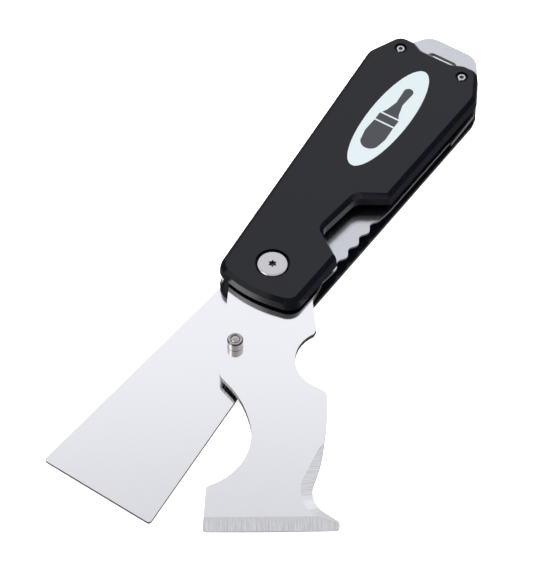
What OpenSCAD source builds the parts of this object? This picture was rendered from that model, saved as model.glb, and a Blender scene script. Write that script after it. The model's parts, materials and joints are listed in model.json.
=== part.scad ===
// Folding painter's multi tool: two swinging blades between two identical handle scales.
// Millimetres. +Z is the front of the tool, +Y runs from the pivot to the butt, and +X is the side
// that the scraper folds into. The origin is on the flat rear face, between pivot and butt.
// The blades are drawn as the tool is shown: the putty knife open, the scraper part way open.

/* [Handle] */
// Distance from the origin back to the pivot
pivot_back = 60; // [50:1:70]
// Half width of the handle's flat face at the pivot
face_half = 17.2; // [16:0.1:18.5]
// Widening of the handle on each side, per millimetre towards the butt
side_taper = 0.0605; // [0.05:0.0005:0.07]
// Thickness of one handle scale
scale_t = 5.4; // [5:0.1:6]
// Depth of the bevel round the edge of the face
face_bevel = 1.75; // [1:0.05:2]
// Width of that bevel along the sides
bevel_side = 1.75; // [1:0.05:2]
// Width of that bevel at the two ends and in the thumb cut-out
bevel_end = 1.7; // [1:0.05:1.75]
// How far a scale's inner edge stands out past its face, at the sides
side_flare = 2.55; // [2:0.05:2.8]
// The same at the two ends and in the thumb cut-out
end_flare = 1.85; // [1.8:0.05:2.2]
// Length from the pivot to the two butt screws
butt_screw_y = 127.4; // [126:0.1:129]
// Distance of each butt screw from the middle
butt_screw_x = 15.1; // [14:0.1:16]

/* [Stack between the scales] */
// Thickness of the spacer washer under the front scale
washer_t = 1.4; // [1:0.1:1.6]
// Thickness of the spacer washer under the rear scale
washer_rear_t = 2.3; // [1.4:0.1:2.4]
// Thickness of the slip washer on each side of the lock plate
film_t = 0.2; // [0.15:0.05:0.3]
// Thickness of the lock plate
plate_t = 2.0; // [1.5:0.1:2.2]
// Thickness of one lock bar
bar_t = 1.0; // [0.8:0.1:1]

/* [Blades] */
// Thickness of the stiff scraper
scraper_t = 2.3; // [1.8:0.1:2.4]
// Thickness of the putty knife
putty_t = 1.2; // [0.9:0.1:1.3]
// Length of the scraper from the pivot to its edge
scraper_len = 121.2; // [119:0.1:122]
// Length of the putty knife from the pivot to its edge
putty_len = 122.3; // [118:0.1:123]
// Width of the putty knife at its edge
putty_w = 50.8; // [45:0.1:52]
// How far the scraper stands from fully open, in degrees
scraper_swing = 33; // [0:1:60]
// How far the putty knife stands from fully open, in degrees
putty_swing = 2.2; // [0:0.1:10]

/* [Hardware] */
// Radius of the pivot barrel
pivot_r = 4; // [3.5:0.1:4.5]
// Radius of the pivot screw's head
pivot_head_r = 6.6; // [6:0.1:6.8]
// Radius of a thumb stud
stud_r = 3.2; // [3:0.1:3.4]
// Height of a thumb stud over its blade
stud_h = 4.7; // [4:0.1:5.5]
// Radius of the two stop pins
stop_r = 2; // [1.8:0.1:2]

/* [Badge] */
// Half length of the oval badge
badge_a = 30.2; // [20:0.1:32]
// Half width of the oval badge
badge_b = 8.9; // [6:0.1:9.5]

/* [Hidden] */
$fn = 96;

// Heights of the layers, from the rear face up
z_rear_in = scale_t;
z_putty = z_rear_in + washer_rear_t;
z_plate = z_putty + putty_t + film_t;
z_plate_top = z_plate + plate_t;
z_scraper = z_plate_top + film_t;
z_scraper_top = z_scraper + scraper_t;
z_front_in = z_scraper_top + washer_t;
z_face = z_front_in + scale_t;
z_mid = z_face / 2;

tiny = 0.02;
over = 1;
running_gap = 0.04;
fit_gap = 0.02;

// Radius round the pivot that both blades' tangs keep inside the stop pins
stop_orbit = 13.5;
tang_r = stop_orbit - stop_r - 0.3;
shoulder_y = -(stop_r + 0.1);
washer_r = 10.5;

// Handle outline
end_y = -14.1;
end_arc_r = 48.8;
corner_y = -11.3;
butt_y = 132.6;
butt_side_y = 120;
notch_depth = 2.4;
notch_floor = 6.5;
notch_reach = 14;

// Recesses in a scale's face, and the heads that lie in them
pivot_recess_r = 7.15;
pivot_recess = 2.3;
crown_w = 1.1;
crown_h = 1.2;
butt_recess_r = 2.75;
butt_recess = 1.5;
butt_head_r = 1.95;
post_r = 1.5;
post_bore_r = 0.92;
spacer_r = 3.4;

// Lock bars, which lie in the plate's layer
bar_root = 100;
bar_nose = -1.8;
bar_inner = 6.5;
bar_slot = 1;
edge_inset = 0.1;
grip_inset = 0.7;
wave_start = 17.1;
wave_pitch = 7.87;
wave_count = 4;
wave_depth = 1.8;
grip_end = 55;
detent_at = [15, 22];
detent_r = 0.55;

// The butt end of the lock plate
slot_half = 7.2;
slot_low = 130.6;
slot_high = 139.8;

// Thumb studs, where they stand on a fully open blade
stud_at = [-15.3, -35.7];
stud_dome_r = 1.95;
stud_bore = 2.5;
rivet_r = 1.2;
rivet_head_r = 2.4;

// The scraper's ground edge: its width, the thickness left at the edge, and its fall per millimetre
bevel_len = 5.4;
edge_left = 0.35;
bevel_fall = (scraper_t - edge_left) / bevel_len;

black = [0.03, 0.03, 0.035];
steel = [0.80, 0.81, 0.83];
satin = [0.68, 0.69, 0.71];
pale = [0.88, 0.92, 0.93];

// ---------------------------------------------------------------- outlines

function unit(v) = v / norm(v);
function turn(a) = a > 180 ? a - 360 : (a < -180 ? a + 360 : a);

// Points along an arc about c, from angle a0 to angle a1
function arc(c, r, a0, a1, n) = [for (i = [0:n]) c + r * [cos(a0 + (a1 - a0) * i / n),
                                                           sin(a0 + (a1 - a0) * i / n)]];

// The round that replaces corner b between a and c
function corner(a, b, c, r, n) =
    let (u = unit(a - b), v = unit(c - b), half = acos(u * v) / 2,
         centre = b + unit(u + v) * r / sin(half),
         p = b + u * r / tan(half) - centre, q = b + v * r / tan(half) - centre,
         a0 = atan2(p.y, p.x), sweep = turn(atan2(q.y, q.x) - a0))
    arc(centre, r, a0, a0 + sweep, n);

function xy(p) = [p[0], p[1]];

// A closed outline from corners [x, y, radius]; a corner with no radius stays sharp
function rounded(p, n = 8) = [for (i = [0:len(p) - 1])
    each (len(p[i]) > 2
        ? corner(xy(p[(i + len(p) - 1) % len(p)]), xy(p[i]), xy(p[(i + 1) % len(p)]), p[i][2], n)
        : [p[i]])];

function mirrored(p) = [for (i = [len(p) - 1:-1:0])
    len(p[i]) > 2 ? [-p[i][0], p[i][1], p[i][2]] : [-p[i][0], p[i][1]]];

function side(y, grow = 0) = face_half + side_taper * y + grow;

// Half of a scale's outline, grown by g at the sides and e at the ends
function scale_half(g, e) = concat(
    arc([0, end_y + end_arc_r], end_arc_r + e, -90, -78, 5),
    [[side(corner_y, g), corner_y - e, 4.5 + 0.9 * g],
     [side(butt_side_y, g), butt_side_y, 7],
     [18.2 + 0.55 * g, butt_y + e, 5]]);

function scale_outline(g, e) = rounded(concat(scale_half(g, e), mirrored(scale_half(g, e))));

// The thumb cut-out, drawn in by d, and by less on the side towards the pivot
function cutout(d) = rounded([[34, 63.7 - d], [8.9 + d, 49.1 - d, 6], [5.7 + d, 25.5 + 0.2 * d, 5],
                              [34, 6.5 + 0.2 * d]]);

function plate_edge(y) = side(y, side_flare - edge_inset);

// The thumb grip's waves along a lock bar's outer edge
function grip_wave() = [for (i = [0:wave_count * 12])
    let (y = wave_start + wave_pitch * i / 12, dip = 0.5 - 0.5 * cos(30 * i))
    [plate_edge(y) - grip_inset - wave_depth * dip, y]];

function bar_outline(gap) = rounded(concat(
    [[12.4 - gap, bar_nose - gap, 1], [16.6 + gap, bar_nose - gap, 1.5], [19.1 + gap, 10.5, 4]],
    gap > 0 ? [[30, 16], [34, bar_root]]
            : concat(grip_wave(), [[plate_edge(grip_end), grip_end, 6], [plate_edge(bar_root), bar_root]]),
    [[15 - gap, bar_root], [15 - gap, 70, 6], [bar_inner - gap, 58, 6],
     [bar_inner - gap, 15.5, 3], [12.4 - gap, 9, 3]]));

function plate_half() = [
    [plate_edge(bar_root), 60], [plate_edge(butt_side_y - 1), butt_side_y - 1, 6],
    [19.4, 132.6, 3], [17.6, 134.2, 1.5], [17.6, 138.1, 5], [11.3, 147.3, 8]];

// ---------------------------------------------------------------- helpers

module at_pivot() translate([0, -pivot_back, 0]) children();

// Turns a front piece into the matching rear piece, about the level z
module to_rear(z = z_mid) translate([0, 0, 2 * z]) rotate([0, 180, 0]) children();

module slab(z, t) translate([0, 0, z]) linear_extrude(t) children();

module ring(r_out, r_in, z, t) slab(z, t) difference() {
    circle(r_out);
    circle(r_in);
}

module star_socket(r, depth, z) slab(z - depth, depth + over) {
    circle(0.72 * r);
    for (i = [0:5]) rotate(60 * i) translate([0.78 * r, 0]) circle(0.24 * r, $fn = 24);
}

// A solid through a row of rings, each with the same number of points, clockwise seen along the row
module loft(rings) {
    m = len(rings[0]);
    n = len(rings);
    sides = [for (i = [0:n - 2]) for (k = [0:m - 1])
        let (a = m * i + k, b = m * i + (k + 1) % m) each [[a, b + m, b], [a, a + m, b + m]]];
    first = [for (k = [0:m - 1]) k];
    last = [for (k = [m - 1:-1:0]) m * (n - 1) + k];
    polyhedron([for (r = rings) each r], concat([first], sides, [last]));
}

function at_level(p, z) = [for (q = p) [q[0], q[1], z]];

// A cutter that grinds a slope along path p, with the material on the path's left. w is the slope's
// width at each point, and fall its drop per millimetre of width
module grind(p, w, z_top, fall) {
    n = len(p);
    out = 3;
    high = z_top + tiny * fall;
    dir = [for (i = [0:n - 1]) unit(p[min(i + 1, n - 1)] - p[max(i - 1, 0)])];
    left = [for (d = dir) [-d.y, d.x]];
    loft([for (i = [0:n - 1]) [
        concat(p[i] + left[i] * (w[i] + tiny), high),
        concat(p[i] - left[i] * out, high),
        concat(p[i] - left[i] * out, z_top - fall * (w[i] + out))]]);
}

// ---------------------------------------------------------------- handle scales

module scale_shell() hull() {
    slab(z_face - tiny, tiny) polygon(scale_outline(0, 0));
    slab(z_face - face_bevel, tiny) polygon(scale_outline(bevel_side, bevel_end));
    slab(z_front_in, tiny) polygon(scale_outline(side_flare, end_flare));
}

// The shallow notch in the butt end, where that end stands out by e, with smooth flanks
function notch(e, depth) = concat(
    [for (i = [-16:16])
        let (x = i * notch_reach / 16, t = (abs(x) - notch_floor) / (notch_reach - notch_floor))
        [x, butt_y + e + 0.15 - depth * (0.5 + 0.5 * cos(180 * max(0, t)))]],
    [[notch_reach, butt_y + 5], [-notch_reach, butt_y + 5]]);

module butt_notch() loft([
    at_level(notch(end_flare, notch_depth), z_front_in - over),
    at_level(notch(bevel_end, notch_depth), z_face - face_bevel),
    at_level(notch(0, notch_depth + bevel_side - bevel_end), z_face),
    at_level(notch(0, notch_depth + bevel_side - bevel_end), z_face + over)]);

module thumb_cutout() loft([
    at_level(cutout(end_flare), z_front_in - over),
    at_level(cutout(bevel_end), z_face - face_bevel),
    at_level(cutout(0), z_face),
    at_level(cutout(0), z_face + over)]);

module scale_shape() difference() {
    scale_shell();
    thumb_cutout();
    butt_notch();
    slab(z_front_in - over, scale_t + 2 * over) circle(pivot_r + fit_gap);
    slab(z_face - pivot_recess, pivot_recess + over) circle(pivot_recess_r);
    translate([-stop_orbit, 0, z_front_in - over]) cylinder(r = stop_r + fit_gap, h = over + 1.5);
    for (s = [-1, 1]) translate([s * butt_screw_x, butt_screw_y, 0]) {
        slab(z_front_in - over, scale_t + 2 * over) circle(post_r + fit_gap, $fn = 48);
        slab(z_face - butt_recess, butt_recess + over) circle(butt_recess_r, $fn = 48);
    }
}

badge_at = [0.5, 91, z_face - 0.2];
function oval(a, b, n = 96) = [for (i = [0:n - 1]) [b * cos(360 * i / n), a * sin(360 * i / n)]];

module front_scale() color(black) at_pivot() difference() {
    scale_shape();
    translate(badge_at) linear_extrude(over) polygon(oval(badge_a, badge_b));
}

module rear_scale() color(black) at_pivot() to_rear() scale_shape();

module badge() color(pale) at_pivot() translate(badge_at) linear_extrude(0.25)
    polygon(oval(badge_a - 0.02, badge_b - 0.02));

// ---------------------------------------------------------------- lock plate and lock bars

module lock_plate() color(steel) at_pivot() difference() {
    slab(z_plate, plate_t) {
        polygon(rounded(concat([[15.5, 60]], plate_half(), mirrored(plate_half()), [[-15.5, 60]])));
        polygon(rounded([[15.5, 62], [-15.5, 62], [-12.5, 0, 4], [-8, -9, 5], [8, -9, 5], [12.5, 0, 4]]));
        circle(10.8);
    }
    for (s = [0, 1]) mirror([s, 0, 0]) slab(z_plate - over, plate_t + 2 * over)
        polygon(bar_outline(bar_slot));
    slab(z_plate - over, plate_t + 2 * over) circle(pivot_r + fit_gap);
    slab(z_plate - over, plate_t + 2 * over)
        polygon(rounded([[-slot_half, slot_low, 2], [slot_half, slot_low, 2],
                         [slot_half, slot_high, 2.5], [-slot_half, slot_high, 2.5]]));
    for (s = [-1, 1]) translate([s * butt_screw_x, butt_screw_y, z_plate - over])
        cylinder(r = post_r + fit_gap, h = plate_t + 2 * over, $fn = 48);
}

module bar_shape() difference() {
    slab(z_plate_top - bar_t, bar_t) difference() {
        polygon(bar_outline(0));
        translate([0, bar_root - 0.05]) square([40, over]);
    }
    translate([detent_at.x, detent_at.y, z_plate])
        cylinder(r = detent_r + fit_gap, h = plate_t + over, $fn = 32);
}

module ball_shape() translate([detent_at.x, detent_at.y, z_plate_top + 0.13 - detent_r])
    sphere(detent_r, $fn = 32);

z_plate_mid = (z_plate + z_plate_top) / 2;

module lock_bar_front() color(steel) at_pivot() bar_shape();

module lock_bar_rear() color(steel) at_pivot() to_rear(z_plate_mid) bar_shape();

module detent_ball_front() color(satin) at_pivot() ball_shape();

module detent_ball_rear() color(satin) at_pivot() to_rear(z_plate_mid) ball_shape();

// ---------------------------------------------------------------- scraper

roller_c = [-34.3, -77.9];
roller_r = 25;
small_c = [22.6, -43.2];
small_r = 14.2;
foot_x = -28.3;
point_x = 24.1;

// The hook side of the scraper, from its point up to the bulge, and where its ground slope runs out
hook_corners = [[point_x, -scraper_len], [point_x, -117.8, 2], [12.1, -108.2, 11.4], [17.9, -90.7, 60],
                [20.5, -71.8, 80], [20.8, -58.6]];
hook_turn = -110.4;
run_out = [19.06, -82.4];

function hook_arc(i) = corner(xy(hook_corners[i - 1]), xy(hook_corners[i]), xy(hook_corners[i + 1]),
                              hook_corners[i][2], 8);
function hook_path() = concat(hook_arc(1), hook_arc(2), hook_arc(3), [run_out]);

// Width of the ground slope along the hook side
function hook_bevel() = [for (p = hook_path())
    4.6 * sqrt(min(1, max(0, run_out.y - p.y) / 18)) - 0.25 * max(0, hook_turn - p.y)];

function scraper_outline() = rounded(concat(
    [[-17.4, shoulder_y, 2.5], [-21.8, -50.2, 4.5], [-12.9, -61.2, 40]],
    arc(roller_c, roller_r, 14, -70, 24),
    [[-27.0, -102.3, 0.8], [foot_x, -scraper_len, 1.2], [point_x, -scraper_len, 1.7]],
    hook_path(),
    hook_arc(4),
    [[20.8, -58.6, 3]],
    arc(small_c, small_r, 242, 117, 16),
    [[17.3, -28.4, 1.2], [16.0, -14, 4], [20.3, -4.6, 1.6], [18.4, shoulder_y, 1.2]]));

module tang(z, t) slab(z, t) {
    circle(tang_r);
    translate([-tang_r, shoulder_y - 4]) square([2 * tang_r, 4]);
}

module stud_holes(at, z, t, head_z, head_t) translate([at.x, at.y, 0]) {
    translate([0, 0, z - over]) cylinder(r = rivet_r + fit_gap, h = t + 2 * over, $fn = 32);
    translate([0, 0, head_z]) cylinder(r1 = rivet_head_r, r2 = rivet_r, h = head_t, $fn = 48);
    translate([0, 0, head_z - over]) cylinder(r = rivet_head_r, h = over + tiny / 4, $fn = 48);
}

module scraper_shape() difference() {
    union() {
        slab(z_scraper, scraper_t) polygon(scraper_outline());
        tang(z_scraper, scraper_t);
    }
    slab(z_scraper - over, scraper_t + 2 * over) circle(pivot_r + running_gap);
    stud_holes(stud_at, z_scraper, scraper_t, z_scraper, 0.9);
    grind([[foot_x - 4, -scraper_len], [0, -scraper_len], [point_x + 4, -scraper_len]],
          [bevel_len, bevel_len, bevel_len], z_scraper_top, bevel_fall);
    grind(concat([[point_x + 1, -scraper_len - 2]], hook_path()), concat([2.6], hook_bevel()),
          z_scraper_top, bevel_fall);
}

module scraper_place() at_pivot() rotate([0, 0, scraper_swing]) children();

module scraper_blade() color(steel) scraper_place() scraper_shape();

// A thumb stud: a drum with a stepped rim round a domed middle
module stud() rotate_extrude($fn = 64) polygon(concat(
    [[0, 0], [stud_r - 0.35, 0], [stud_r - 0.35, 0.25], [stud_r, 0.45],
     [stud_r, stud_h - 0.95], [stud_r - 0.28, stud_h - 0.7]],
    arc([stud_r - 0.48, stud_h - 0.4], 0.2, 0, 90, 3),
    [[stud_dome_r + 0.25, stud_h - 0.2], [stud_dome_r + 0.25, stud_h - 0.75]],
    [for (i = [0:6]) [stud_dome_r * cos(15 * i), stud_h - 0.75 + 0.75 * sin(15 * i)]]));

module bored_stud() difference() {
    stud();
    translate([0, 0, -over]) cylinder(r = rivet_r + fit_gap, h = over + stud_bore, $fn = 32);
}

module rivet(t, head_t, deep) {
    cylinder(r1 = rivet_head_r, r2 = rivet_r, h = head_t, $fn = 48);
    cylinder(r = rivet_r, h = t + deep, $fn = 32);
}

module thumb_stud_front() color(satin) scraper_place()
    translate([stud_at.x, stud_at.y, z_scraper_top]) bored_stud();

module stud_rivet_front() color(satin) scraper_place()
    translate([stud_at.x, stud_at.y, z_scraper]) rivet(scraper_t, 0.9, stud_bore - 0.1);

// ---------------------------------------------------------------- putty knife

putty_offset = 1.5;
putty_side = 0.0805;

function putty_edge(y) = putty_w / 2 - putty_side * (putty_len + y);

function putty_outline() = let (o = putty_offset, y1 = shoulder_y, y2 = -15) rounded([
    [o + putty_edge(y1), y1, 2.5], [o + putty_w / 2, -putty_len, 1.2], [o - putty_w / 2, -putty_len, 1.2],
    [o - putty_edge(-24), -24], [o - putty_edge(y2), y2, 4], [-20.3, -4.6, 1.6], [-18.4, y1, 1.2]]);

module putty_shape() difference() {
    union() {
        slab(z_putty, putty_t) polygon(putty_outline());
        tang(z_putty, putty_t);
    }
    slab(z_putty - over, putty_t + 2 * over) circle(pivot_r + running_gap);
    translate([0, 0, 2 * z_putty + putty_t]) mirror([0, 0, 1])
        stud_holes([-stud_at.x, stud_at.y], z_putty, putty_t, z_putty, 0.5);
}

module putty_place() at_pivot() rotate([0, 0, -putty_swing]) children();

module putty_blade() color(steel) putty_place() putty_shape();

module thumb_stud_rear() color(satin) putty_place()
    translate([-stud_at.x, stud_at.y, z_putty]) rotate([180, 0, 0]) bored_stud();

module stud_rivet_rear() color(satin) putty_place()
    translate([-stud_at.x, stud_at.y, z_putty + putty_t]) rotate([180, 0, 0])
        rivet(putty_t, 0.5, stud_bore - 0.1);

// ---------------------------------------------------------------- pivot

head_floor = z_face - pivot_recess;
head_t = pivot_recess - 0.3;
thread_r = 2;

module pivot_barrel() color(satin) at_pivot()
    ring(pivot_r, thread_r + fit_gap, z_face - head_floor, 2 * head_floor - z_face);

module pivot_screw() translate([0, 0, head_floor]) difference() {
    union() {
        rotate_extrude() polygon(concat([[0, 0], [pivot_head_r, 0]],
            [for (a = [0:11.25:90])
                [pivot_head_r - crown_w + crown_w * cos(a), head_t - crown_h + crown_h * sin(a)]],
            [[0, head_t]]));
        translate([0, 0, -5]) cylinder(r = thread_r, h = 5.5, $fn = 48);
    }
    star_socket(1.7, 1.3, head_t);
}

module pivot_screw_front() color(satin) at_pivot() pivot_screw();

module pivot_screw_rear() color(satin) at_pivot() to_rear() pivot_screw();

module washer_front() color(satin) at_pivot() ring(washer_r, pivot_r + fit_gap, z_scraper_top, washer_t);

module slip_washer_front() color(satin) at_pivot() ring(washer_r, pivot_r + fit_gap, z_plate_top, film_t);

module slip_washer_rear() color(satin) at_pivot()
    ring(washer_r, pivot_r + fit_gap, z_plate - film_t, film_t);

module washer_rear() color(satin) at_pivot() ring(washer_r, pivot_r + fit_gap, z_rear_in, washer_rear_t);

module stop_pin() translate([-stop_orbit, 0, z_plate_top + 0.05])
    cylinder(r = stop_r, h = z_front_in + 1.5 - z_plate_top - 0.05, $fn = 48);

module stop_pin_front() color(satin) at_pivot() stop_pin();

module stop_pin_rear() color(satin) at_pivot() translate([stop_orbit, 0, z_rear_in - 1.5])
    cylinder(r = stop_r, h = z_plate - 0.05 - z_rear_in + 1.5, $fn = 48);

// ---------------------------------------------------------------- butt

module at_butt(s) at_pivot() translate([s * butt_screw_x, butt_screw_y, 0]) children();

module butt_post(s) at_butt(s) ring(post_r, post_bore_r, butt_recess, z_face - 2 * butt_recess, $fn = 48);

module butt_screw() translate([0, 0, z_face - butt_recess]) difference() {
    union() {
        rotate_extrude($fn = 48) polygon([[0, 0], [butt_head_r, 0], [butt_head_r, 0.85],
                                          [butt_head_r - 0.35, 1.2], [0, 1.2]]);
        translate([0, 0, -5]) cylinder(r = post_bore_r - fit_gap, h = 5.4, $fn = 32);
    }
    star_socket(1.1, 0.7, 1.2);
}

module spacer(z0, z1) ring(spacer_r, post_r + fit_gap, z0, z1 - z0, $fn = 48);

module butt_post_left() color(satin) butt_post(-1);
module butt_post_right() color(satin) butt_post(1);
module butt_screw_front_left() color(satin) at_butt(-1) butt_screw();
module butt_screw_front_right() color(satin) at_butt(1) butt_screw();
module butt_screw_rear_left() color(satin) at_butt(-1) to_rear() butt_screw();
module butt_screw_rear_right() color(satin) at_butt(1) to_rear() butt_screw();
module butt_spacer_front_left() color(satin) at_butt(-1) spacer(z_plate_top, z_front_in);
module butt_spacer_front_right() color(satin) at_butt(1) spacer(z_plate_top, z_front_in);
module butt_spacer_rear_left() color(satin) at_butt(-1) spacer(z_rear_in, z_plate);
module butt_spacer_rear_right() color(satin) at_butt(1) spacer(z_rear_in, z_plate);

// ---------------------------------------------------------------- parts

front_scale();
rear_scale();
lock_plate();
badge();
pivot_barrel();
pivot_screw_front();
pivot_screw_rear();
washer_front();
slip_washer_front();
slip_washer_rear();
washer_rear();
stop_pin_front();
stop_pin_rear();
butt_post_left();
butt_post_right();
butt_screw_front_left();
butt_screw_front_right();
butt_screw_rear_left();
butt_screw_rear_right();
butt_spacer_front_left();
butt_spacer_front_right();
butt_spacer_rear_left();
butt_spacer_rear_right();
scraper_blade();
thumb_stud_front();
stud_rivet_front();
putty_blade();
thumb_stud_rear();
stud_rivet_rear();
lock_bar_front();
detent_ball_front();
lock_bar_rear();
detent_ball_rear();
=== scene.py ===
import json
import math

import bmesh
import bpy
from mathutils import Matrix, Vector


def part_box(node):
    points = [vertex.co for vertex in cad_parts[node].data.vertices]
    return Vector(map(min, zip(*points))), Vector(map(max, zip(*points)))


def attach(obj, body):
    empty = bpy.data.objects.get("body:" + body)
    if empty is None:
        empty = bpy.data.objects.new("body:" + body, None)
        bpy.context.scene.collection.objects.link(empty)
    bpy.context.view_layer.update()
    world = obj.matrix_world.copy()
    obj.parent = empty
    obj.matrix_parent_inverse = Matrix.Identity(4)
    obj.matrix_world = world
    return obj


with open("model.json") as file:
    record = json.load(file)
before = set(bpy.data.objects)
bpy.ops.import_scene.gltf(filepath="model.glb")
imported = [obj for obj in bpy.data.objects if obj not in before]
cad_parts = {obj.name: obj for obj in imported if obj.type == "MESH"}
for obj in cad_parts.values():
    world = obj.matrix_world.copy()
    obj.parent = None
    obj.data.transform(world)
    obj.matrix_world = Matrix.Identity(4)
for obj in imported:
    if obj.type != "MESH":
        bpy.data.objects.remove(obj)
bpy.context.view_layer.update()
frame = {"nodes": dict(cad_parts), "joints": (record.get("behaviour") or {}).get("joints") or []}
MM = 0.001

joints = {joint["name"]: joint for joint in frame["joints"]}
nodes = frame["nodes"]


# ---------------------------------------------------------------- material helper

class Look:
    """One procedural material. Each method adds nodes and returns the socket that they end in."""

    def __init__(self, name, constants=()):
        self.material = bpy.data.materials.new(name)
        self.material.use_nodes = True
        self.tree = self.material.node_tree
        self.shader = self.tree.nodes["Principled BSDF"]
        self.coords = self.tree.nodes.new("ShaderNodeTexCoord").outputs
        for key, value in constants:
            self.shader.inputs[key].default_value = value

    def add(self, kind, *values, **settings):
        made = self.tree.nodes.new("ShaderNode" + kind)
        for key, value in settings.items():
            setattr(made, key, value)
        for socket, value in zip(made.inputs, values):
            self.feed(socket, value)
        return made

    def feed(self, socket, value):
        if isinstance(value, bpy.types.NodeSocket):
            self.tree.links.new(value, socket)
        elif value is not None:
            socket.default_value = value

    def math(self, operation, a, b=None):
        return self.add("Math", a, b, operation=operation).outputs[0]

    def vector(self, operation, a, b=None):
        made = self.add("VectorMath", a, b, operation=operation)
        return made.outputs["Value" if operation in ("LENGTH", "DOT_PRODUCT") else "Vector"]

    def split(self, vector):
        return self.add("SeparateXYZ", vector).outputs

    def span(self, value, low, high, to_low=0.0, to_high=1.0):
        """Maps value from low..high to to_low..to_high, smoothly and held at both ends."""
        made = self.add("MapRange", value, low, high, to_low, to_high, interpolation_type="SMOOTHSTEP")
        return made.outputs["Result"]

    def turned(self, vector, angle):
        made = self.add("VectorRotate", vector, rotation_type="Z_AXIS")
        made.inputs["Angle"].default_value = angle
        return made.outputs["Vector"]

    def noise(self, vector, stretch=(1, 1, 1), detail=2.0, roughness=0.5):
        """Noise with features of about 1 / stretch metres along each axis."""
        scaled = self.vector("MULTIPLY", vector, stretch)
        made = self.add("TexNoise")
        self.feed(made.inputs["Vector"], scaled)
        made.inputs["Scale"].default_value = 1
        made.inputs["Detail"].default_value = detail
        made.inputs["Roughness"].default_value = roughness
        return made.outputs["Fac"]

    def mix(self, factor, a, b):
        """Colour a where factor is 0 and b where it is 1."""
        made = self.tree.nodes.new("ShaderNodeMix")
        made.data_type = "RGBA"
        for socket, value in zip((made.inputs[0], made.inputs[6], made.inputs[7]), (factor, a, b)):
            self.feed(socket, (*value, 1) if isinstance(value, tuple) else value)
        return made.outputs[2]

    def blend(self, factor, a, b):
        """Number a where factor is 0 and b where it is 1."""
        made = self.tree.nodes.new("ShaderNodeMix")
        for socket, value in zip((made.inputs[0], made.inputs[2], made.inputs[3]), (factor, a, b)):
            self.feed(socket, value)
        return made.outputs[0]

    def relief(self, height, depth, strength=1.0, under=None):
        """Bump of the given depth in metres, on top of another bump if one is given."""
        made = self.tree.nodes.new("ShaderNodeBump")
        made.inputs["Distance"].default_value = depth
        made.inputs["Strength"].default_value = strength
        self.feed(made.inputs["Height"], height)
        if under is not None:
            self.feed(made.inputs["Normal"], under)
        return made.outputs["Normal"]

    def finish(self, colour=None, rough=None, normal=None):
        for key, value in (("Base Color", colour), ("Roughness", rough), ("Normal", normal)):
            if value is not None:
                self.feed(self.shader.inputs[key], value)
        return self.material


# ---------------------------------------------------------------- materials

# The direction of the grinding marks on the hook, against the blade's length
HOOK_GRIND = math.radians(-12)


def shade(colour, level):
    """A darker or lighter tone of a colour."""
    return tuple(min(1.0, level * part) for part in colour)


def moulded_black():
    look = Look("handle_black", [("IOR", 1.385)])
    place = look.coords["Object"]
    upright = look.math("ABSOLUTE", look.split(look.coords["Normal"])[2])
    rim = look.math("MULTIPLY", look.span(upright, 0.40, 0.55), look.span(upright, 0.99, 0.93))
    broad = look.noise(place, (90, 90, 90), 3)
    grain = look.noise(place, (4200, 4200, 4200), 2)
    hairs = look.noise(look.turned(place, 0.5), (2600, 55, 400), 3)
    scuffs = look.span(look.noise(look.turned(place, -0.35), (70, 2400, 500), 4), 0.66, 0.74)
    worn = look.math("MULTIPLY", rim, look.span(look.noise(place, (700, 700, 700), 4), 0.55, 0.75))
    colour = look.mix(broad, (0.0022, 0.0026, 0.0048), (0.0034, 0.0038, 0.0066))
    colour = look.mix(look.math("MULTIPLY", worn, 0.25), colour, (0.020, 0.020, 0.022))
    rough = look.blend(broad, 0.15, 0.21)
    rough = look.math("ADD", rough, look.math("MULTIPLY", hairs, 0.05))
    rough = look.math("ADD", rough, look.math("MULTIPLY", look.math("MAXIMUM", worn, scuffs), 0.08))
    normal = look.relief(grain, 3e-6, 0.25)
    normal = look.relief(hairs, 2e-6, 0.15, normal)
    return look.finish(colour, rough, normal)


def ground_mask(look, place_normal):
    """How far a spot is on a blade's ground slope, on the hook's part of it, and on that part's low end."""
    along, up = look.split(place_normal)[1:3]
    slope = look.math("MULTIPLY", look.span(up, 0.990, 0.975), look.span(up, 0.90, 0.93))
    hook = look.math("MULTIPLY", slope, look.span(along, -0.27, -0.22))
    low_end = look.math("MULTIPLY", slope, look.span(along, 0.0, 0.14))
    return slope, hook, low_end


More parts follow.
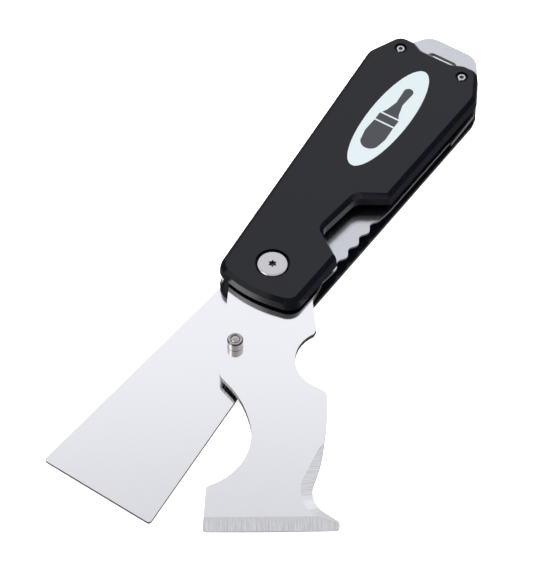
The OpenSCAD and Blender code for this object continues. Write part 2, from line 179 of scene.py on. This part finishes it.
def blade_steel(name, colour, angle):
    """Polished blade steel: a faint grain along the blade, cross-ground slopes, and upright edges darkened
    partly as punched steel's own rough tone and partly as painted shade.
    """
    look = Look(name, [("Metallic", 1.0)])
    place = look.turned(look.coords["Object"], angle)
    normal = look.turned(look.coords["Normal"], angle)
    wall = look.span(look.math("ABSOLUTE", look.split(normal)[2]), 0.62, 0.35)
    slope, hook, low_end = ground_mask(look, normal)
    along = look.noise(place, (6500, 45, 800), 3)
    across = look.noise(place, (2400, 90, 300), 4, 0.6)
    hook_lines = look.noise(look.turned(place, HOOK_GRIND), (110, 2300, 300), 4, 0.6)
    ground = look.blend(hook, across, hook_lines)
    clouds = look.noise(place, (30, 22, 40), 2)
    edge_tone_noise = look.noise(look.coords["Object"], (2600, 2600, 120), 2)
    grain = look.blend(slope, look.span(along, 0.3, 0.7), look.span(ground, 0.3, 0.7))
    contrast = look.blend(slope, 0.012, look.blend(low_end, look.blend(hook, 0.22, 0.20), 0.03))
    level = look.blend(slope, 1.0, look.blend(low_end, look.blend(hook, 0.88, 0.74), 1.0))
    value = look.math("ADD", level, look.math("MULTIPLY", look.math("SUBTRACT", grain, 0.5), contrast))
    scaled = look.add("VectorMath", colour, operation="SCALE")
    look.feed(scaled.inputs["Scale"], value)
    tone = scaled.outputs[0]
    # The upright edges get a darker tone: partly the punched steel's own tone, partly painted shade.
    sheared_and_painted_shade_tone = look.mix(look.span(edge_tone_noise, 0.3, 0.7), (0.22, 0.21, 0.20), (0.42, 0.41, 0.40))
    tone = look.mix(wall, tone, sheared_and_painted_shade_tone)
    gloss = look.blend(clouds, 0.075, 0.115)
    gloss = look.math("ADD", gloss, look.math("MULTIPLY", grain, 0.02))
    gloss = look.blend(slope, gloss, 0.24)
    gloss = look.blend(wall, gloss, 0.34)
    relief = look.relief(along, 5e-7, 0.10)
    relief = look.relief(look.math("MULTIPLY", ground, slope), 4e-6, 0.35, relief)
    return look.finish(tone, gloss, relief)


def sheet_steel(name, colour, rough):
    """Brushed sheet for the lock plate and its bars, with upright edges lightened partly as polished wear and
    partly as a painted highlight.
    """
    look = Look(name, [("Metallic", 1.0)])
    place = look.turned(look.coords["Object"], 0.62)
    wall = look.span(look.math("ABSOLUTE", look.split(look.coords["Normal"])[2]), 0.55, 0.30)
    fine = look.noise(place, (5600, 240, 800), 4)
    specks = look.noise(place, (2100, 2100, 2100), 3)
    clouds = look.noise(place, (60, 45, 45), 3)
    streak = look.math("ADD", look.math("MULTIPLY", fine, 0.6), look.math("MULTIPLY", specks, 0.4))
    tone = look.mix(look.span(streak, 0.32, 0.68), shade(colour, 0.93), shade(colour, 1.06))
    # The upright edges get a lighter tone: partly polished wear, partly a painted highlight.
    tone = look.mix(wall, tone, look.mix(specks, (0.60, 0.59, 0.58), (0.85, 0.84, 0.82)))
    patches = look.blend(clouds, rough - 0.03, rough + 0.04)
    gloss = look.math("ADD", look.math("MULTIPLY", streak, 0.06), patches)
    gloss = look.blend(wall, gloss, 0.30)
    return look.finish(tone, gloss, look.relief(streak, 1.5e-6, 0.3))


def turned_steel(name, colour, rough, socket_painted_shade=1.0):
    """Round hardware: fine rings round the part's own middle, and painted shade that darkens the socket in a
    screw's head.
    """
    look = Look(name, [("Metallic", 1.0)])
    from_middle = look.vector("SUBTRACT", look.coords["Generated"], (0.5, 0.5, 0.5))
    radius = look.vector("LENGTH", look.vector("MULTIPLY", from_middle, (1, 1, 0)))
    ring_place = look.add("CombineXYZ", radius, 0.0, 0.0).outputs[0]
    rings = look.noise(ring_place, (90, 1, 1), 4, 0.7)
    specks = look.noise(look.coords["Object"], (2200, 2200, 2200), 3)
    tone = look.mix(rings, shade(colour, 0.86), shade(colour, 1.08))
    tone = look.mix(look.span(specks, 0.60, 0.75, 0.0, 0.3), tone, shade(colour, 0.7))
    # Painted shade: the socket below the head's top is darkened as if it lay in shadow.
    below_top = look.span(look.math("ABSOLUTE", look.split(from_middle)[2]), 0.485, 0.465)
    socket = look.math("MULTIPLY", below_top, look.span(radius, 0.33, 0.29))
    tone = look.mix(socket, tone, shade(colour, socket_painted_shade))
    gloss = look.math("ADD", look.math("MULTIPLY", rings, 0.08), rough)
    return look.finish(tone, gloss, look.relief(rings, 5e-6, 0.2))


def printed_badge():
    look = Look("badge_white")
    place = look.coords["Object"]
    flecks = look.noise(place, (3000, 3000, 3000), 3)
    broad = look.noise(place, (120, 120, 120), 2)
    tone = look.mix(flecks, (0.42, 0.475, 0.49), (0.49, 0.545, 0.56))
    rough = look.blend(broad, 0.30, 0.42)
    return look.finish(tone, rough, look.relief(flecks, 4e-6, 0.3))


def printed_ink():
    look = Look("badge_ink")
    specks = look.noise(look.coords["Object"], (2600, 2600, 2600), 3)
    tone = look.mix(specks, (0.022, 0.024, 0.030), (0.040, 0.042, 0.050))
    return look.finish(tone, look.blend(specks, 0.35, 0.50), look.relief(specks, 3e-6, 0.3))


def washer_brass():
    look = Look("washer_brass", [("Metallic", 1.0)])
    specks = look.noise(look.coords["Object"], (900, 900, 900), 4)
    tone = look.mix(specks, (0.52, 0.36, 0.16), (0.68, 0.50, 0.25))
    return look.finish(tone, look.blend(specks, 0.25, 0.42), look.relief(specks, 5e-6, 0.3))


def washer_plastic():
    look = Look("washer_plastic")
    specks = look.noise(look.coords["Object"], (1500, 1500, 1500), 3)
    tone = look.mix(specks, (0.10, 0.10, 0.105), (0.16, 0.16, 0.165))
    return look.finish(tone, look.blend(specks, 0.4, 0.55), look.relief(specks, 5e-6, 0.3))


def wear(material, names):
    for name in names:
        for slot in nodes[name].material_slots:
            slot.material = material


def open_turn(name, limit):
    """How far the joint turns, in radians, to lay its blade in line with the handle, fully open."""
    return math.radians(joints[name]["range_deg"][limit])


# ---------------------------------------------------------------- edges

# Vertices closer than this are one, and faces within this angle of each other are one flat face
WELD_GAP = 2e-6
FLAT_ANGLE = math.radians(0.6)


def soften(name, width, segments=3, angle=28):
    """Rounds a node's sharp edges by a small radius, as finishing leaves them."""
    obj = nodes[name]
    weld = obj.modifiers.new("weld", "WELD")
    weld.merge_threshold = WELD_GAP
    flat = obj.modifiers.new("flat", "DECIMATE")
    flat.decimate_type = "DISSOLVE"
    flat.angle_limit = FLAT_ANGLE
    bevel = obj.modifiers.new("round", "BEVEL")
    bevel.width = width * MM
    bevel.segments = segments
    bevel.limit_method = "ANGLE"
    bevel.angle_limit = math.radians(angle)
    bevel.use_clamp_overlap = True
    bevel.harden_normals = True
    obj.modifiers.new("shade", "WEIGHTED_NORMAL")


# ---------------------------------------------------------------- badge

def flat_piece(name, outlines, z_low, thickness, material, body, bevel):
    """Thin raised pieces with the given outlines in millimetres, as one object that rides on a body."""
    mesh = bpy.data.meshes.new(name)
    made = bmesh.new()
    for outline in outlines:
        face = made.faces.new([made.verts.new((x * MM, y * MM, z_low)) for x, y in outline])
        raised = bmesh.ops.extrude_face_region(made, geom=[face])["geom"]
        moved = [item for item in raised if isinstance(item, bmesh.types.BMVert)]
        bmesh.ops.translate(made, verts=moved, vec=(0, 0, thickness * MM))
    bmesh.ops.recalc_face_normals(made, faces=made.faces)
    made.to_mesh(mesh)
    made.free()
    piece = bpy.data.objects.new(name, mesh)
    bpy.context.collection.objects.link(piece)
    mesh.materials.append(material)
    edge = piece.modifiers.new("round", "BEVEL")
    edge.width = bevel * MM
    edge.segments = 2
    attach(piece, body)
    return piece


def swept(centre, radius, start, stop, steps=10):
    """Points along an arc, with angles in degrees."""
    turns = [math.radians(start + (stop - start) * i / steps) for i in range(steps + 1)]
    return [(centre[0] + radius * math.cos(a), centre[1] + radius * math.sin(a)) for a in turns]


# The raised print on the badge, in millimetres
MOTIF_THICKNESS = 0.05
MOTIF_BEVEL = 0.012


def badge_motif():
    """A plain paintbrush: handle, metal band and bristles, along the badge's length."""
    low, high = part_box("badge")
    middle = (low + high) / 2 / MM
    grip = (swept((0, 16.5), 2.1, 0, 180)
            + [(-1.5, 9.0), (-2.9, 3.5), (-4.0, 1.4), (4.0, 1.4), (2.9, 3.5), (1.5, 9.0)])
    band = [(-4.6, 0.6), (-4.6, -3.2), (4.6, -3.2), (4.6, 0.6)]
    bristles = ([(-4.6, -4.0), (-5.0, -11.0), (-4.2, -15.0)]
                + swept((0, -15.0), 4.2, 180, 352, 12)
                + [(5.0, -11.0), (4.6, -4.0)])
    outlines = [[(middle.x + x, middle.y + y) for x, y in part] for part in (grip, band, bristles)]
    piece = flat_piece("badge_motif", outlines, high.z, MOTIF_THICKNESS, printed_ink(), "handle", MOTIF_BEVEL)


# ---------------------------------------------------------------- floor, light and camera

CAMERA_HEADING = 31.93
CAMERA_ELEVATION = 53.73
CAMERA_ROLL = 0.44
CAMERA_DISTANCE = 1083.3 * MM
CAMERA_TARGET = Vector((5.99 * MM, -74.03 * MM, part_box("front_scale")[1].z))
FOCAL_PER_HEIGHT = 2700 / 586

# The soft light: the height of its middle, and how far from that it starts and is full, in degrees
SOFT_LIGHT_HEIGHT = 72
SOFT_LIGHT_EDGE = (64, 46)
# The band of heights in which its brightness changes, and its brightness under and over that band
SOFT_LIGHT_TOP = (0.815, 0.862, 1.02, 0.75)
# The room round it: the band of heights in which it changes, and its brightness under and over that band
ROOM_BAND = (-0.25, 0.1)
ROOM_BELOW = 0.16
ROOM_ABOVE = 0.04
ROOM_TINT = (1.0, 1.0, 1.03)

FLOOR_SIZE = 6
FLOOR_GLOW = 0.75
CAMERA_REACH = 20
SENSOR_WIDTH = 36


def floor():
    bpy.ops.mesh.primitive_plane_add(size=FLOOR_SIZE, location=(0, 0, 0))
    plane = bpy.context.object
    plane.name = "floor"
    glow = [("Emission Color", (1, 1, 1, 1)), ("Emission Strength", FLOOR_GLOW)]
    look = Look("floor", [("Roughness", 0.9), *glow])
    speck = look.noise(look.coords["Object"], (40, 40, 40), 2)
    plane.data.materials.append(look.finish(look.mix(speck, (0.90, 0.90, 0.90), (0.93, 0.93, 0.93))))
    plane.visible_glossy = False


def direction(turn, tilt):
    """The unit vector with this turn round Z from +X, and this tilt above the floor."""
    return Vector((math.cos(turn) * math.cos(tilt), math.sin(turn) * math.cos(tilt), math.sin(tilt)))


def softbox(name, heading, elevation, distance, size, power, seen=True):
    """A square area light that looks at the tool. Heading 0 is over the camera, and grows to its right."""
    turn = math.radians(CAMERA_HEADING + heading - 90)
    tilt = math.radians(elevation)
    place = direction(turn, tilt) * distance
    data = bpy.data.lights.new(name, "AREA")
    data.size = size
    data.energy = power
    lamp = bpy.data.objects.new(name, data)
    bpy.context.collection.objects.link(lamp)
    lamp.location = place
    lamp.rotation_euler = (-place).to_track_quat("-Z", "Y").to_euler()
    lamp.visible_glossy = seen


def camera():
    data = bpy.data.cameras.new("camera")
    data.sensor_width = SENSOR_WIDTH
    data.lens = data.sensor_width * FOCAL_PER_HEIGHT
    data.clip_end = CAMERA_REACH
    turn = (Matrix.Rotation(math.radians(CAMERA_HEADING), 4, "Z")
            @ Matrix.Rotation(math.radians(90 - CAMERA_ELEVATION), 4, "X")
            @ Matrix.Rotation(math.radians(CAMERA_ROLL), 4, "Z"))
    cam = bpy.data.objects.new("camera", data)
    bpy.context.collection.objects.link(cam)
    back = turn.to_3x3() @ Vector((0, 0, 1))
    cam.matrix_world = Matrix.Translation(CAMERA_TARGET + back * CAMERA_DISTANCE) @ turn
    bpy.context.scene.camera = cam


def studio():
    """A large soft light above and behind the tool, in a dim room that is a little lighter below."""
    made = bpy.data.worlds.new("studio")
    made.use_nodes = True
    tree = made.node_tree
    around = tree.nodes.new("ShaderNodeTexCoord").outputs["Generated"]
    split = tree.nodes.new("ShaderNodeSeparateXYZ")
    tree.links.new(around, split.inputs[0])

    def ramp(value, low, high, to_low, to_high, interpolation="SMOOTHSTEP"):
        node = tree.nodes.new("ShaderNodeMapRange")
        node.interpolation_type = interpolation
        for socket, number in zip(node.inputs, (0.0, low, high, to_low, to_high)):
            socket.default_value = number
        tree.links.new(value, node.inputs["Value"])
        return node.outputs["Result"]

    towards = tree.nodes.new("ShaderNodeVectorMath")
    towards.operation = "DOT_PRODUCT"
    behind = direction(math.radians(CAMERA_HEADING + 90), math.radians(SOFT_LIGHT_HEIGHT))
    towards.inputs[1].default_value = behind
    tree.links.new(around, towards.inputs[0])
    start, full = (math.cos(math.radians(angle)) for angle in SOFT_LIGHT_EDGE)
    mixed = tree.nodes.new("ShaderNodeMix")
    tree.links.new(ramp(towards.outputs["Value"], start, full, 0.0, 1.0), mixed.inputs[0])
    tree.links.new(ramp(split.outputs["Z"], *ROOM_BAND, ROOM_BELOW, ROOM_ABOVE, "LINEAR"), mixed.inputs[2])
    tree.links.new(ramp(split.outputs["Z"], *SOFT_LIGHT_TOP), mixed.inputs[3])
    tint = tree.nodes.new("ShaderNodeVectorMath")
    tint.operation = "SCALE"
    tint.inputs[0].default_value = ROOM_TINT
    tree.links.new(mixed.outputs[0], tint.inputs["Scale"])
    tree.links.new(tint.outputs[0], tree.nodes["Background"].inputs["Color"])
    bpy.context.scene.world = made
    bpy.context.scene.view_settings.view_transform = "Standard"


# ---------------------------------------------------------------- the tool

SCALE_NAMES = ("front_scale", "rear_scale")
PLATE_NAMES = ("lock_plate", "lock_bar_front", "lock_bar_rear")
BLADE_TONE = (0.86, 0.865, 0.885)
SCREW_WORDS = ("screw", "butt", "stop", "barrel")
STUD_WORDS = ("stud", "ball")


def named(words):
    return [name for name in nodes if any(word in name for word in words)]


scraper_angle = open_turn("scraper_swing", 0)
putty_angle = open_turn("putty_swing", 1)

wear(moulded_black(), SCALE_NAMES)
wear(blade_steel("scraper_steel", BLADE_TONE, scraper_angle), ["scraper_blade"])
wear(blade_steel("putty_steel", BLADE_TONE, putty_angle), ["putty_blade"])
wear(sheet_steel("plate_steel", (0.60, 0.615, 0.645), 0.16), PLATE_NAMES)
wear(printed_badge(), ["badge"])
# The last number darkens the screw sockets as painted shade.
wear(turned_steel("screw_steel", (0.60, 0.60, 0.615), 0.13, 0.14), named(SCREW_WORDS))
wear(turned_steel("stud_steel", (0.45, 0.43, 0.41), 0.07), named(STUD_WORDS))
wear(washer_brass(), ["washer_front", "washer_rear"])
wear(washer_plastic(), ["slip_washer_front", "slip_washer_rear"])

for name in SCALE_NAMES:
    soften(name, 0.22)
for name in PLATE_NAMES:
    soften(name, 0.15, 2)
for name in ("scraper_blade", "putty_blade"):
    soften(name, 0.08, 2, 13)

badge_motif()
floor()
studio()
camera()
softbox("fill_over_camera", 0, 65, 1.6, 1.4, 22, seen=False)
softbox("fill_left", -100, 50, 1.6, 1.2, 8, seen=False)
softbox("fill_right", 100, 50, 1.6, 1.2, 8, seen=False)
softbox("side_left", -60, 27, 1.2, 0.8, 1.6)
softbox("high_left", -68, 54, 1.3, 0.45, 1.0)
